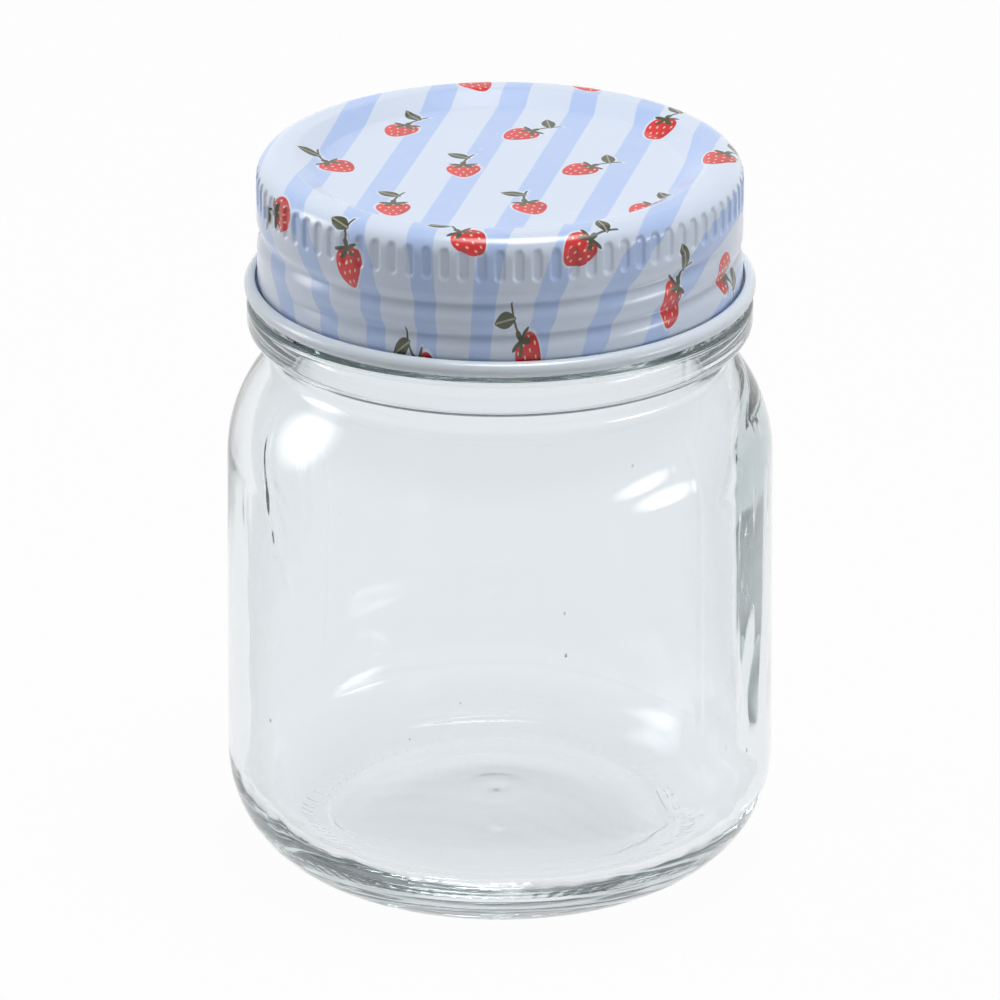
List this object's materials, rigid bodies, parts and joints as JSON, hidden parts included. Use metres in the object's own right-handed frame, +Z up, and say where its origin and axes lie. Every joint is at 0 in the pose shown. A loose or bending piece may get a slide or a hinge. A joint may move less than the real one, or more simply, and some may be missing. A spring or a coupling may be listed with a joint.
{
  "type": "jam pot",
  "caption": "Squat round glass jam pot with rounded shoulder and heel, a neck bead and a printed one-piece metal screw lid that seals on a soft ring.",
  "frame": {"origin": "centre of the ring on which the jar stands", "axes": "+Z up along the axis of the jar; the start of the lid's thread groove is at 160 degrees clockwise from +X, seen from above"},
  "size_m": [0.076, 0.076, 0.1017],
  "materials": {
    "jar_glass": "clear, glossy, faintly green in thick places",
    "lid_print": "glossy white lacquer with pale blue stripes and small red fruit",
    "seal": "matt off-white"
  },
  "bodies": {
    "jar": {"glass_jar": "jar_glass"},
    "seal": {"seal_liner": "seal"},
    "lid": {"lid_shell": "lid_print"}
  },
  "joints": [
    {"name": "lid_lift", "type": "slide", "parent": "jar", "child": "seal", "axis": [0, 0, 1], "range_m": [0, 0.0221]},
    {"name": "lid_turn", "type": "hinge", "parent": "seal", "child": "lid", "pos_m": [0, 0, 0.09], "axis": [0, 0, 1], "range_deg": [0, 1800]}
  ],
  "couplings": [
    {"joint": "lid_lift", "follows": "lid_turn", "m_per_rad": 0.00070028}
  ]
}
